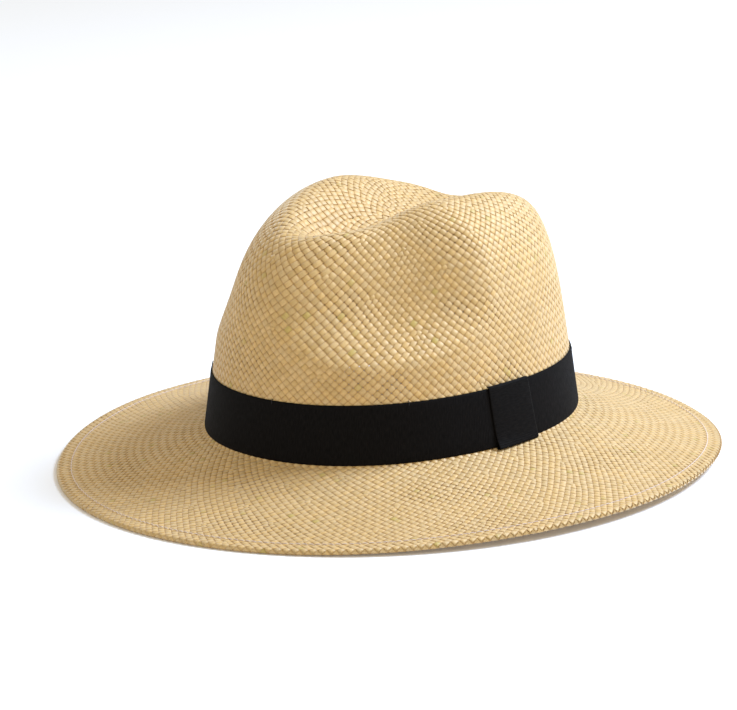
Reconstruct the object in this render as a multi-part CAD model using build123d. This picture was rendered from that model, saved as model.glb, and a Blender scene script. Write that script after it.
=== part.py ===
from build123d import *
from math import atan2, cos, degrees, pi, radians, sin, tau
import os

# A wide-brimmed panama hat of flat paper straw, with a ribbon band and a sewn sweatband.
# Millimetres. +X is the wearer's front, +Y the wearer's left, +Z up.
# The origin is the centre of the plane that the front and back of the brim rest on.
#
# Most surfaces run round the head, so they are lofted through closed rings. A ring is given by
# "angle", which turns from the front (0) through the wearer's left (90 degrees) to the back.
# "climb" goes up the crown from its base (0) to the top (a quarter turn), and "run" goes out
# along the brim from the crown (0) to its edge (1).

# Crown base: an oval between an ellipse and a rectangle, slightly narrower at the front
base_half_length = 99.7
base_half_width = 84.3
base_squareness = 2.12
front_narrowing = 0.033
base_height = 22.4
base_tilt = 1.4

# Crown wall and top
wall_squareness = 6.0
wall_taper = 0.2
front_fullness = 0.15
crown_lean = 6.1
top_height = 143.8
top_centre_x = -7.0
top_fall_front = 370.0
top_fall_back = 1070.0
top_fall_side = 345.0

# Centre crease along the top
crease_depth = 23.7
crease_front_x = 73.0
crease_back_x = -100.0
crease_half_width = 44.5
crease_front_ramp = 44.0
crease_back_ramp = 53.0
crease_widening = 91.0
right_rear_slump = 5.5

# Thumb dents near the front; the wearer's left one is deeper, with firmer edges. Each has its
# angle, half angle, height, reach up, reach down, softness and depth.
left_dent = (45.5, 42.0, 105.0, 52.0, 38.0, 1.6, 18.5)
right_dent = (-44.0, 41.0, 104.0, 56.0, 38.0, 2.0, 4.5)

# Brim
edge_half_length = 176.5
edge_half_width = 160.2
edge_centre_x = 1.0
edge_narrowing = 0.0165
side_lift = 3.6
brim_curve = 1.35

# Straw sheet, and the hem that folds it round the edge reed
straw_thickness = 0.9
reed_radius = 0.5
reed_clearance = 0.05
hem_width = 9.0
hem_close_distance = 4.0
hem_ply_gap = 0.2
stitch_inset = 6.2
thread_radius = 0.2
thread_clearance = 0.03

# Ribbon band and its tab
band_height = 29.4
band_lift = 0.4
band_thickness = 0.6
band_clearance = 0.12
tab_angle = 90.5
tab_width = 28.5
tab_lean = 0.08
band_overlap = 16.0
band_rise_length = 26.0
tab_lip = 0.6
tack_size = 0.4
tack_leg = 1.8
tack_angles = (10, 55, 135, 180, 225, 270, 315)

# Sweatband, its seam at the back and its label on the wearer's left
sweatband_height = 31.0
sweatband_thickness = 0.8
sweatband_gap_low = 0.15
sweatband_gap_high = 0.6
seam_gap = 0.4
seam_stitches = 9
seam_stitch_length = 3.2
sweatband_stitch_rise = 2.5
label_width = 24.0
label_height = 11.0
label_rise = 9.0
label_thickness = 0.35

# How finely the rings and strips follow the shape; the plain rings are the wall's, below the dents
ring_points = 48
crown_rings = 32
plain_rings = 6
strip_step = 5.0
seam_angle = 180.0

fold_radius = reed_radius + reed_clearance + straw_thickness
brim_width = edge_half_length - fold_radius - base_half_length
arc_per_degree = radians(1) * base_half_length


def smooth(value, low, high):
    """A smooth step from 0 at low to 1 at high."""
    t = min(max((value - low) / (high - low), 0.0), 1.0)
    return t * t * (3 - 2 * t)


def oval(angle, half_length, half_width, narrowing, squareness):
    """The plan position of an oval's outline."""
    c, s = cos(angle), sin(angle)
    reach = (abs(c) ** squareness + abs(s) ** squareness) ** (-1 / squareness)
    return half_length * reach * c, half_width * reach * s * (1 - narrowing * c)


def dent_depth(dent, turn, height):
    """How far a thumb dent pushes the wall in, turn degrees round from the front."""
    angle, half_angle, level, reach_up, reach_down, softness, depth = dent
    reach = reach_up if height > level else reach_down
    off = ((turn - angle) / half_angle) ** 2 + abs((height - level) / reach) ** 2.6
    return depth * max(1 - off, 0.0) ** softness


def crease_drop(x, y):
    """How far the centre crease sinks below the smooth top."""
    ahead = crease_front_x - x
    ramp = smooth(ahead, 0, crease_front_ramp) * smooth(x - crease_back_x, 0, crease_back_ramp)
    half = crease_half_width * (0.25 + 0.75 * smooth(ahead, -2, crease_widening) ** 0.5)
    across = 0.5 + 0.5 * cos(pi * y / half) if abs(y) < half else 0.0
    return crease_depth * ramp * across


def rear_slump(x, y):
    """The right rear of the crown sits a little lower than the left."""
    along = smooth(-x, 2, 48) * (1 - 0.6 * smooth(-x, 72, 100))
    return right_rear_slump * along * smooth(-y, 4, 28)


def base_level(angle):
    """Height of the crown's base, lower at the front."""
    x, y = oval(angle, base_half_length, base_half_width, front_narrowing, base_squareness)
    return base_height - base_tilt * x / base_half_length


def crown_point(angle, climb):
    """A point on the outside of the crown."""
    c, s = cos(climb), sin(climb)
    reach = (c ** wall_squareness + s ** wall_squareness) ** (-1 / wall_squareness)
    inward, upward = c * reach, s * reach
    x, y = oval(angle, base_half_length, base_half_width, front_narrowing, base_squareness)
    taper = wall_taper - front_fullness * (0.5 + 0.5 * cos(angle)) ** 3
    scale = inward * (1 - taper * upward)
    x = x * scale - crown_lean * upward
    y = y * scale
    ahead = x - top_centre_x
    fall = top_fall_front if ahead > 0 else top_fall_back
    level = top_height - ahead ** 2 / fall - y ** 2 / top_fall_side
    floor = base_level(angle)
    z = floor + upward * (level - floor)
    turn = degrees(atan2(sin(angle), cos(angle)))
    depth = dent_depth(left_dent, turn, z) + dent_depth(right_dent, turn, z)
    depth *= smooth(inward, 0.25, 0.7)
    away = max((x * x + y * y) ** 0.5, 1e-9)
    x, y = x - depth * x / away, y - depth * y / away
    z -= crease_drop(x, y) * smooth(upward, 0.75, 0.97)
    z -= rear_slump(x, y) * smooth(upward, 0.6, 0.97)
    return Vector(x, y, z)


def edge_level(angle):
    """Height of the lowest point of the brim's edge: front and back rest, the sides lift."""
    turn = abs(degrees(atan2(sin(angle), cos(angle))))
    return side_lift * (smooth(turn, 25, 85) - smooth(turn, 112, 160))


def brim_point(angle, run):
    """A point on the top of the brim, out to where the hem's fold begins."""
    x0, y0 = oval(angle, base_half_length, base_half_width, front_narrowing, base_squareness)
    x1, y1 = oval(angle, edge_half_length - fold_radius, edge_half_width - fold_radius,
                  edge_narrowing, 2.0)
    low = edge_level(angle) + 2 * fold_radius
    left = max(1 - run, 0.0) ** brim_curve
    x, y = x0 + (x1 + edge_centre_x - x0) * run, y0 + (y1 - y0) * run
    return Vector(x, y, low + (base_level(angle) - low) * left)


def outward_normal(surface, angle, step):
    """The surface's unit normal, on the side that looks up and out."""
    small = 1e-3
    along = surface(angle + small, step) - surface(angle - small, step)
    up = surface(angle, step + small) - surface(angle, max(step - small, 0.0))
    normal = along.cross(up).normalized()
    here = surface(angle, step)
    side = normal.Z * 50 + normal.X * here.X + normal.Y * here.Y
    return normal if side > 0 else normal * -1


def offset_point(surface, angle, step, distance):
    return surface(angle, step) + outward_normal(surface, angle, step) * distance


def wall_climb(angle, rise):
    """The climb at which the crown wall is rise above its base."""
    low, high = 0.0, pi / 4
    target = base_level(angle) + max(rise, 0.0)
    for _ in range(30):
        middle = (low + high) / 2
        if crown_point(angle, middle).Z < target:
            low = middle
        else:
            high = middle
    return low


def wall_point(angle, rise, distance):
    """A point rise above the crown's base and distance outside its wall."""
    point = offset_point(crown_point, angle, wall_climb(angle, rise), distance)
    return point + Vector(0, 0, min(rise, 0.0))


def ring(place):
    """A closed ring through place(angle), starting at the back."""
    angles = [radians(seam_angle) + tau * i / ring_points for i in range(ring_points)]
    return Wire([Edge.make_spline([place(a) for a in angles], periodic=True)])


def skin(rings, ruled=False):
    return list(Shell.make_loft(rings, ruled).faces())


def crown_skin(rings):
    """The plain wall and the dented crown above it; close rings keep the join smooth."""
    return skin(rings[:plain_rings + 1]) + skin(rings[plain_rings:])


def solid_from(faces):
    solid = Solid(Shell(faces))
    return solid if solid.volume > 0 else Solid(Shell([-f for f in faces]))


def ring_tube(centre, across, radius):
    """A round ring: centre(angle) is its middle line, across(angle) a direction square to it."""
    def at(turn):
        return ring(lambda a: centre(a) + across(a) * (radius * cos(turn))
                    + Vector(0, 0, radius * sin(turn)))
    turns = [at(radians(45 * k)) for k in range(8)]
    return solid_from(skin(turns[:5]) + skin(turns[4:] + turns[:1]))


def strip(stations, outline):
    """An open strip: outline(station) lists its section's corners, near and far ones in pairs."""
    sections = [outline(s) for s in stations]
    count = len(sections[0])
    edges = [Edge.make_spline([section[k] for section in sections]) for k in range(count)]
    faces = [Face.make_surface_from_curves(edges[k], edges[(k + 1) % count]) for k in range(count)]
    for end in (sections[0], sections[-1]):
        for k in range(count // 2 - 1):
            near = Edge.make_line(end[k], end[k + 1])
            far = Edge.make_line(end[count - 1 - k], end[count - 2 - k])
            faces.append(Face.make_surface_from_curves(near, far))
    return solid_from(faces)


def edge_outward(angle):
    """The level direction square to the brim's edge."""
    small = 1e-3
    along = brim_point(angle + small, 1) - brim_point(angle - small, 1)
    return Vector(along.Y, -along.X, 0).normalized()


def fold_centre(angle):
    return brim_point(angle, 1) - Vector(0, 0, fold_radius)


def fold_point(angle, turn, radius):
    """A point on the hem's fold: turn 0 is the top, half a turn the bottom."""
    return fold_centre(angle) + edge_outward(angle) * (radius * sin(turn)) \
        + Vector(0, 0, radius * cos(turn))


def hem_point(angle, inset, plies):
    """A face of the hem, inset from the fold: 1 the brim's underside, 2 and 3 the turned ply."""
    opening = 2 * (reed_radius + reed_clearance) - hem_ply_gap
    gap = hem_ply_gap + opening * (1 - smooth(inset, 0, hem_close_distance))
    depth = (straw_thickness, straw_thickness + gap, 2 * straw_thickness + gap)[plies - 1]
    return offset_point(brim_point, angle, 1 - inset / brim_width, -depth)


def straw_body():
    """Crown and brim, one woven sheet, with its edge turned under around the reed."""
    close_steps = [plain_rings + 0.15, plain_rings + 0.6]
    steps = [*range(plain_rings + 1), *close_steps, *range(plain_rings + 1, crown_rings)]
    climbs = [pi / 2 * step / crown_rings for step in steps]
    runs = [0, 0.04, 0.08, 0.14, 0.21, 0.29, 0.38, 0.48, 0.59, 0.7, 0.8]
    insets = [hem_width, 6.5, 4.5, 3, 1.5, 0]
    turns = [radians(45 * k) for k in range(5)]
    inner_radius = reed_radius + reed_clearance
    apex = crown_point(0, pi / 2)

    def inside_corner(a):
        return crown_point(a, 0) + Vector(-cos(a), -sin(a), -0.6) * straw_thickness

    base = ring(lambda a: crown_point(a, 0))
    corner = ring(inside_corner)
    hem_runs = [1 - d / brim_width for d in insets]
    crown_outside = [base] + [ring(lambda a, c=c: crown_point(a, c)) for c in climbs[1:]]
    crown_inside = [corner] + [ring(lambda a, c=c: offset_point(crown_point, a, c, -straw_thickness))
                               for c in climbs[1:]]
    brim_top = [base] + [ring(lambda a, r=r: brim_point(a, r)) for r in runs[1:] + hem_runs]
    fold_outside = [brim_top[-1]] + [ring(lambda a, t=t: fold_point(a, t, fold_radius))
                                     for t in turns[1:]]
    ply_under = [ring(lambda a, d=d: hem_point(a, d, 3)) for d in insets]
    ply_under[-1] = fold_outside[-1]
    ply_over = [ring(lambda a, d=d: hem_point(a, d, 2)) for d in insets]
    fold_inside = [ring(lambda a, t=t: fold_point(a, t, inner_radius)) for t in turns]
    ply_over[-1] = fold_inside[-1]
    brim_under = [corner] + [ring(lambda a, r=r: offset_point(brim_point, a, r, -straw_thickness))
                             for r in runs[1:]]
    brim_under += [ring(lambda a, d=d: hem_point(a, d, 1)) for d in insets[:-1]] + [fold_inside[0]]

    faces = crown_skin(crown_outside + [Vertex(apex)]) + skin(brim_top) + skin(fold_outside)
    faces += skin(ply_under) + skin([ply_under[0], ply_over[0]], ruled=True) + skin(ply_over)
    faces += skin(fold_inside) + skin(brim_under)
    faces += crown_skin(crown_inside + [Vertex(apex - Vector(0, 0, straw_thickness))])
    return solid_from(faces)


def brim_edge_reed():
    """The springy reed inside the hem, which holds the brim's line."""
    return ring_tube(fold_centre, edge_outward, reed_radius)


def hem_needle_thread():
    """The hem's top thread."""
    run = 1 - stitch_inset / brim_width
    lift = thread_radius + thread_clearance
    return ring_tube(lambda a: offset_point(brim_point, a, run, lift), edge_outward, thread_radius)


def hem_bobbin_thread():
    """The hem's lower thread, on the turned ply."""
    drop = Vector(0, 0, thread_radius + thread_clearance)
    return ring_tube(lambda a: hem_point(a, stitch_inset, 3) - drop, edge_outward, thread_radius)


def band_layer(travel, length):
    """How far the ribbon steps out to pass over its own start."""
    step = band_thickness + band_clearance
    return step * smooth(travel, length - band_rise_length - band_overlap, length - band_overlap)


def hat_band():
    """The ribbon: once round the crown, with its end lapped over its start under the tab."""
    start = tab_angle - band_overlap / 2 / arc_per_degree
    length = 360 * arc_per_degree + band_overlap
    count = int(length / arc_per_degree / strip_step) + 1
    travels = [length * i / count for i in range(count + 1)]

    def outline(travel):
        angle = radians(start + travel / arc_per_degree)
        near = band_clearance + band_layer(travel, length)
        far = near + band_thickness
        low, high = band_lift, band_lift + band_height
        return [wall_point(angle, low, near), wall_point(angle, low, far),
                wall_point(angle, high, far), wall_point(angle, high, near)]
    return strip(travels, outline)


def band_tab():
    """The short ribbon loop over the lap: it hooks over both edges and leans forward a little."""
    half = tab_width / 2 / arc_per_degree
    angles = [tab_angle - half + 2 * half * i / 6 for i in range(7)]
    near = 0.3
    inner = 3 * band_clearance + 2 * band_thickness
    outer = inner + band_thickness
    low, high = band_lift, band_lift + band_height
    profile = [(near, 0.0), (outer, -0.7), (outer, high + band_clearance + tab_lip),
               (near, high + band_clearance + tab_lip), (near, high + band_clearance),
               (inner, high + band_clearance), (inner, low - 0.1), (near, low - 0.1)]
    middle = band_height / 2

    def outline(a):
        return [wall_point(radians(a - tab_lean * (rise - middle)), rise, out)
                for out, rise in profile]
    return strip(angles, outline)


def local_plane(angle, rise):
    """A plane on the wall: x points outward, y up the wall, z along it."""
    out = outward_normal(crown_point, angle, wall_climb(angle, rise))
    return Plane(wall_point(angle, rise, 0), x_dir=out, z_dir=out.cross(Vector(0, 0, 1)))


def band_tacks():
    """Small hooked stitches that hold the ribbon's top edge to the straw."""
    reach = band_thickness + 2 * band_clearance
    over = band_clearance
    hook = [(0.05, over), (0.05, over + tack_size), (reach + tack_size, over + tack_size),
            (reach + tack_size, -tack_leg), (reach, -tack_leg), (reach, over)]
    tacks = []
    for angle in tack_angles:
        plane = local_plane(radians(angle), band_lift + band_height)
        face = plane * make_face(Polyline(*hook, close=True))
        tacks.append(extrude(face, amount=tack_size / 2, both=True))
    return Compound(tacks)


def sweatband_outline(angle, low, high, near, thickness):
    """A section of something that lies against the inside of the crown wall."""
    spread = sweatband_gap_high - sweatband_gap_low

    def at(rise, depth):
        lean = sweatband_gap_low + spread * rise / sweatband_height
        return wall_point(angle, rise, -(straw_thickness + lean + depth))
    return [at(low, near), at(high, near), at(high, near + thickness), at(low, near + thickness)]


def strip_angles(start, stop):
    count = max(int((stop - start) / strip_step) + 1, 4)
    return [start + (stop - start) * i / count for i in range(count + 1)]


def sweatband():
    """The sweatband: a strip sewn inside the crown's base, its ends meeting at the back."""
    half_gap = seam_gap / 2 / arc_per_degree
    angles = strip_angles(seam_angle + half_gap, seam_angle + 360 - half_gap)
    return strip(angles, lambda a: sweatband_outline(radians(a), 0, sweatband_height, 0,
                                                     sweatband_thickness))


def sweatband_face(angle, rise, proud):
    """A point proud of the sweatband's inner face."""
    lean = sweatband_gap_low + (sweatband_gap_high - sweatband_gap_low) * rise / sweatband_height
    return wall_point(angle, rise, -(straw_thickness + lean + sweatband_thickness + proud))


def sweatband_thread():
    """The line of stitching that holds the sweatband."""
    proud = thread_radius + thread_clearance

    def across(a):
        return Vector(cos(a), sin(a), 0)
    return ring_tube(lambda a: sweatband_face(a, sweatband_stitch_rise, proud), across, thread_radius)


def sweatband_seam_thread():
    """Zigzag stitches that join the sweatband's two ends at the back."""
    stitches = []
    spacing = (sweatband_height - 2 * sweatband_stitch_rise) / seam_stitches
    for i in range(seam_stitches):
        rise = 2 * sweatband_stitch_rise + spacing * i
        centre = sweatband_face(radians(seam_angle), rise, thread_radius + band_clearance)
        slope = 25 if i % 2 else -25
        stitch = Box(2 * thread_radius, seam_stitch_length, 2 * thread_radius)
        stitches.append(Pos(centre) * Rot(X=slope) * stitch)
    return Compound(stitches)


def size_label():
    """A blank label sewn on the sweatband's inner face."""
    half = label_width / 2 / arc_per_degree
    near = sweatband_thickness + thread_clearance
    angles = strip_angles(90 - half, 90 + half)
    return strip(angles, lambda a: sweatband_outline(radians(a), label_rise,
                                                     label_rise + label_height, near,
                                                     label_thickness))


os.makedirs("parts", exist_ok=True)
for make_part in (straw_body, brim_edge_reed, hem_needle_thread, hem_bobbin_thread, hat_band,
                  band_tab, band_tacks, sweatband, sweatband_thread, sweatband_seam_thread,
                  size_label):
    export_step(make_part(), f"parts/{make_part.__name__}.step")
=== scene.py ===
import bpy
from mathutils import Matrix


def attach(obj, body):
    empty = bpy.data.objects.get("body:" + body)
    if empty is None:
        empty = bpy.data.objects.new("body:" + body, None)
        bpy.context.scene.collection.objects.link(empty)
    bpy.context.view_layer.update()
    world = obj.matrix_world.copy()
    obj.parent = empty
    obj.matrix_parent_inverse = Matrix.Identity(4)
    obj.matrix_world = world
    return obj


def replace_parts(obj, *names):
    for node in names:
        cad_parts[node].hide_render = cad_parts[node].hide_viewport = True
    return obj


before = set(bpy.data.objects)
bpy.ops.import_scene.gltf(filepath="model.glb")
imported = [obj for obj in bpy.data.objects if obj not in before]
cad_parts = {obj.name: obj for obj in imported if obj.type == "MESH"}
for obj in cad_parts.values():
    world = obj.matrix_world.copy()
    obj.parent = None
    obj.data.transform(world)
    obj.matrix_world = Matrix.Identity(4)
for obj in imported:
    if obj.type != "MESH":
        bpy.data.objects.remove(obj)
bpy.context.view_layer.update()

import math

import bpy
import numpy as np
from mathutils import Matrix, Vector

# A panama hat of flat paper straw, in metres. +X is the wearer's front, +Y the wearer's left and
# +Z up. Its shape is the CAD hat's: "angle" turns from the front through the wearer's left,
# "climb" goes up the crown and "run" out along the brim. Over that shape the straws are woven
# one by one, and the ribbon, sweatband and threads are made as cloth and stitches.

MM = 0.001
TAU = 2 * math.pi

# Crown base, wall and top
BASE_HALF_LENGTH = 99.7 * MM
BASE_HALF_WIDTH = 84.3 * MM
BASE_SQUARENESS = 2.12
FRONT_NARROWING = 0.033
BASE_HEIGHT = 22.4 * MM
BASE_TILT = 1.4 * MM
WALL_SQUARENESS = 6.0
WALL_TAPER = 0.2
FRONT_FULLNESS = 0.15
CROWN_LEAN = 6.1 * MM
TOP_HEIGHT = 143.8 * MM
TOP_CENTRE_X = -7.0 * MM
TOP_FALL_FRONT = 370.0 * MM
TOP_FALL_BACK = 1070.0 * MM
TOP_FALL_SIDE = 345.0 * MM

# Crease along the top, and thumb dents
CREASE_DEPTH = 23.7 * MM
CREASE_FRONT_X = 73.0 * MM
CREASE_BACK_X = -100.0 * MM
CREASE_HALF_WIDTH = 44.5 * MM
CREASE_FRONT_RAMP = 44.0 * MM
CREASE_BACK_RAMP = 53.0 * MM
CREASE_WIDENING = 91.0 * MM
CREASE_TIP_SHARE = 0.25
# Each dent's angle, half angle, height, reach up, reach down, softness and depth
LEFT_DENT = (45.5, 42.0, 105.0 * MM, 52.0 * MM, 38.0 * MM, 1.6, 18.5 * MM)
RIGHT_DENT = (-44.0, 41.0, 104.0 * MM, 56.0 * MM, 38.0 * MM, 2.0, 4.5 * MM)
DENT_SQUARENESS = 2.6
# The crown's right rear slumps: the ramps back from the middle and out to the side, and how much
# of the slump goes again towards the back
RIGHT_REAR_SLUMP = 5.5 * MM
SLUMP_RAMP = (2.0 * MM, 48.0 * MM)
SLUMP_SIDE_RAMP = (4.0 * MM, 28.0 * MM)
SLUMP_EASING = (72.0 * MM, 100.0 * MM)
SLUMP_EASED = 0.6
# The dents fade in from the middle of the top out to the wall, the crease and slump on the way up
DENT_FADE = (0.25, 0.7)
CREASE_FADE = (0.75, 0.97)
SLUMP_FADE = (0.6, 0.97)

# Brim and hem
EDGE_HALF_LENGTH = 176.5 * MM
EDGE_HALF_WIDTH = 160.2 * MM
EDGE_CENTRE_X = 1.0 * MM
EDGE_NARROWING = 0.0165
SIDE_LIFT = 3.6 * MM
SIDE_RISE_TURNS = (25, 85)
SIDE_FALL_TURNS = (112, 160)
BRIM_CURVE = 1.35
SHEET = 0.9 * MM
REED_ROOM = 0.55 * MM
FOLD_RADIUS = REED_ROOM + SHEET
HEM_WIDTH = 9.0 * MM
HEM_CLOSE = 4.0 * MM
HEM_PLY_GAP = 0.2 * MM
STITCH_INSET = 6.2 * MM
BRIM_WIDTH = EDGE_HALF_LENGTH - FOLD_RADIUS - BASE_HALF_LENGTH
ARC_PER_DEGREE = math.radians(1) * BASE_HALF_LENGTH

# Ribbon and its tab, sweatband and label
BAND_HEIGHT = 29.4 * MM
BAND_LIFT = 0.4 * MM
BAND_THICKNESS = 0.6 * MM
BAND_CLEARANCE = 0.12 * MM
BAND_OVERLAP = 16.0 * MM
BAND_RISE_LENGTH = 26.0 * MM
TAB_ANGLE = 90.5
TAB_WIDTH = 28.5 * MM
TAB_LEAN = 0.08
TACK_ANGLES = (10, 55, 135, 180, 225, 270, 315)
SWEATBAND_HEIGHT = 31.0 * MM
SWEATBAND_THICKNESS = 0.8 * MM
SWEATBAND_GAP_LOW = 0.15 * MM
SWEATBAND_GAP_HIGH = 0.6 * MM
SWEATBAND_STITCH_RISE = 2.5 * MM
SEAM_GAP = 0.4 * MM
SEAM_STITCHES = 9
SEAM_STITCH = 3.2 * MM
LABEL_WIDTH = 24.0 * MM
LABEL_HEIGHT = 11.0 * MM
LABEL_RISE = 9.0 * MM
LABEL_THICKNESS = 0.35 * MM
THREAD_RADIUS = 0.2 * MM
STITCH_LENGTH = 3.2 * MM

# Straws: one family turns clockwise as it goes out from the top, the other anticlockwise
STRAW_WIDTH = 3.55 * MM
STRAW_DEPTH = 0.38 * MM
STRAW_WAVE = 0.25 * MM
CROWN_PITCH = 3.08 * MM
EDGE_PITCH = 2.95 * MM
START_STRAWS = 6
SECTORS = 6
CORNER_ROUND = 2.0 * MM
# Where a straw's stations are from one crossing to the next, and how far it starts before its
# first crossing
STATIONS = np.array([0.0, 0.36, 0.5, 0.64])
STRAW_START = 0.3
# How much narrower a straw is between crossings: everywhere, and more where the weave is loose
STRAW_NECK = 0.045
STRAW_SLACK = 0.3
# Painted shade: how dark a straw is painted at its two edges, and between crossings, where it dips
# under, for the shade in the grooves between straws
PAINTED_EDGE_SHADE = np.array([0.66, 0.5, 0.3])
PAINTED_DIP_SHADE = np.array([0.85, 0.76, 0.6])
STRAW_COLOUR = (0.69, 0.45, 0.165)
PALE_COLOUR = (0.75, 0.565, 0.32)
OCHRE_COLOUR = (0.56, 0.41, 0.10)
OCHRE_SHARE = 0.014
# How far a ring's evenly spaced crossings draw towards the front and back: crown, then brim edge
CROWN_DRAW = 0.042
BRIM_DRAW = 0.0245
# Added straws start this turn apart. Then each crossing goes this share of the way to the middle
# of its neighbours, so many times
ADDED_TURN = TAU * 0.381966
EVEN_SHARE = 0.6
EVEN_ROUNDS = 40
# From this way outward, a straw keeps the width that it has at the edge
EDGE_WAY = 1.93
# How flat a straw is over a crossing, and how suddenly its painted shade darkens it between two
WAVE_FLATNESS = 6
PAINTED_DIP_FLATNESS = 4
# The length of one crossing in the fibres' coordinates, where a straw's half width is 1
FIBRE_STEP = 1.4
# The patch that closes the top: its strips' spacing, half length and half width in spacings, and
# its height
BUTTON_PITCH = 3.1 * MM
BUTTON_REACH = 1.65
BUTTON_HALF_WIDTH = 0.48
BUTTON_LIFT = 0.7 * MM


def smooth(value, low, high):
    """From 0 to 1, easing in and out, as the value goes from low to high."""
    t = np.clip((value - low) / (high - low), 0.0, 1.0)
    return t * t * (3 - 2 * t)


def unit(v):
    """Vectors of length 1."""
    return v / np.maximum(np.linalg.norm(v, axis=-1, keepdims=True), 1e-12)


def upright(height):
    """Vectors straight up, of these heights."""
    return np.stack([0 * height, 0 * height, height], -1)


# ---- The hat's shape ----

def oval(angle, half_length, half_width, narrowing, squareness):
    """A point on a level oval, squarer than an ellipse and narrower in front."""
    c, s = np.cos(angle), np.sin(angle)
    reach = (np.abs(c) ** squareness + np.abs(s) ** squareness) ** (-1 / squareness)
    return half_length * reach * c, half_width * reach * s * (1 - narrowing * c)


def base_oval(angle):
    return oval(angle, BASE_HALF_LENGTH, BASE_HALF_WIDTH, FRONT_NARROWING, BASE_SQUARENESS)


def turn_of(angle):
    """The angle in degrees, from -180 to 180."""
    return (np.degrees(angle) + 180) % 360 - 180


def base_level(angle):
    return BASE_HEIGHT - BASE_TILT * base_oval(angle)[0] / BASE_HALF_LENGTH


def dent_depth(dent, turn, height):
    """How far a thumb dent pushes the wall in, turn degrees round from the front."""
    angle, half_angle, level, reach_up, reach_down, softness, depth = dent
    reach = np.where(height > level, reach_up, reach_down)
    off = np.abs((height - level) / reach) ** DENT_SQUARENESS + ((turn - angle) / half_angle) ** 2
    return depth * np.maximum(1 - off, 0.0) ** softness


def crease_drop(x, y):
    """How far the crease sinks the top: a narrow tip in front, widening towards the back."""
    ahead = CREASE_FRONT_X - x
    ramp = smooth(ahead, 0, CREASE_FRONT_RAMP) * smooth(x - CREASE_BACK_X, 0, CREASE_BACK_RAMP)
    wide = smooth(ahead, -2 * MM, CREASE_WIDENING) ** 0.5
    half = CREASE_HALF_WIDTH * (CREASE_TIP_SHARE + (1 - CREASE_TIP_SHARE) * wide)
    across = np.where(np.abs(y) < half, 0.5 + 0.5 * np.cos(np.pi * y / half), 0.0)
    return CREASE_DEPTH * ramp * across


def rear_slump(x, y):
    """How far the right rear of the crown's top sags."""
    along = smooth(-x, *SLUMP_RAMP) * (1 - SLUMP_EASED * smooth(-x, *SLUMP_EASING))
    return RIGHT_REAR_SLUMP * along * smooth(-y, *SLUMP_SIDE_RAMP)


def crown_point(angle, climb):
    """A point on the outside of the crown; climb is 0 at its base and a quarter turn on top."""
    c, s = np.cos(climb), np.sin(climb)
    reach = (np.abs(c) ** WALL_SQUARENESS + np.abs(s) ** WALL_SQUARENESS) ** (-1 / WALL_SQUARENESS)
    inward, upward = c * reach, s * reach
    x, y = base_oval(angle)
    taper = WALL_TAPER - FRONT_FULLNESS * (0.5 + 0.5 * np.cos(angle)) ** 3
    scale = inward * (1 - taper * upward)
    x, y = x * scale - CROWN_LEAN * upward, y * scale
    ahead = x - TOP_CENTRE_X
    fall = np.where(ahead > 0, TOP_FALL_FRONT, TOP_FALL_BACK)
    level = TOP_HEIGHT - ahead ** 2 / fall - y ** 2 / TOP_FALL_SIDE
    floor = base_level(angle)
    z = floor + upward * (level - floor)
    turn = turn_of(angle)
    depth = dent_depth(LEFT_DENT, turn, z) + dent_depth(RIGHT_DENT, turn, z)
    depth = depth * smooth(inward, *DENT_FADE)
    shrink = 1 - depth / np.maximum(np.hypot(x, y), 1e-9)
    x, y = x * shrink, y * shrink
    z = z - crease_drop(x, y) * smooth(upward, *CREASE_FADE)
    z = z - rear_slump(x, y) * smooth(upward, *SLUMP_FADE)
    return np.stack([x, y, z], -1)


def edge_level(angle):
    """How far the brim's edge is above what the hat stands on."""
    turn = np.abs(turn_of(angle))
    return SIDE_LIFT * (smooth(turn, *SIDE_RISE_TURNS) - smooth(turn, *SIDE_FALL_TURNS))


def brim_point(angle, run):
    """A point on the top of the brim; run is 0 at the crown and 1 where the hem folds."""
    x0, y0 = base_oval(angle)
    x1, y1 = oval(angle, EDGE_HALF_LENGTH - FOLD_RADIUS, EDGE_HALF_WIDTH - FOLD_RADIUS,
                  EDGE_NARROWING, 2.0)
    low = edge_level(angle) + 2 * FOLD_RADIUS
    left = np.clip(1 - run, 0.0, None) ** BRIM_CURVE
    return np.stack([x0 + (x1 + EDGE_CENTRE_X - x0) * run, y0 + (y1 - y0) * run,
                     low + (base_level(angle) - low) * left], -1)


# What looking up counts for beside looking away from the hat's axis, in choosing the outer side
UP_SHARE = 50 * MM
# How many times a search for a height on the wall halves its range
HALVINGS = 26


def outward_normal(surface, angle, step):
    """The surface's unit normal, on the side that looks up and out."""
    small = 1e-3
    along = surface(angle + small, step) - surface(angle - small, step)
    rise = surface(angle, step + small) - surface(angle, np.maximum(step - small, 0.0))
    normal = unit(np.cross(along, rise))
    away = surface(angle, step)[..., :2]
    side = normal[..., 2] * UP_SHARE + (normal[..., :2] * away).sum(-1)
    return normal * np.where(side > 0, 1.0, -1.0)[..., None]


def edge_outward(angle):
    """The level direction square to the brim's edge."""
    small, edge = 1e-3, np.ones_like(angle)
    along = brim_point(angle + small, edge) - brim_point(angle - small, edge)
    return unit(np.stack([along[..., 1], -along[..., 0], 0 * angle], -1))


def wall_point(angle, rise, distance):
    """A point rise above the crown's base and distance outside its wall."""
    angle, rise, distance = np.broadcast_arrays(*(np.asarray(v, float)
                                                  for v in (angle, rise, distance)))
    low, high = np.zeros(angle.shape), np.full(angle.shape, math.pi / 4)
    target = base_level(angle) + np.maximum(rise, 0.0)
    for _ in range(HALVINGS):
        middle = (low + high) / 2
        below = crown_point(angle, middle)[..., 2] < target
        low, high = np.where(below, middle, low), np.where(below, high, middle)
    point = crown_point(angle, low) + outward_normal(crown_point, angle, low) * distance[..., None]
    return point + upright(np.minimum(rise, 0.0))


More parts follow.
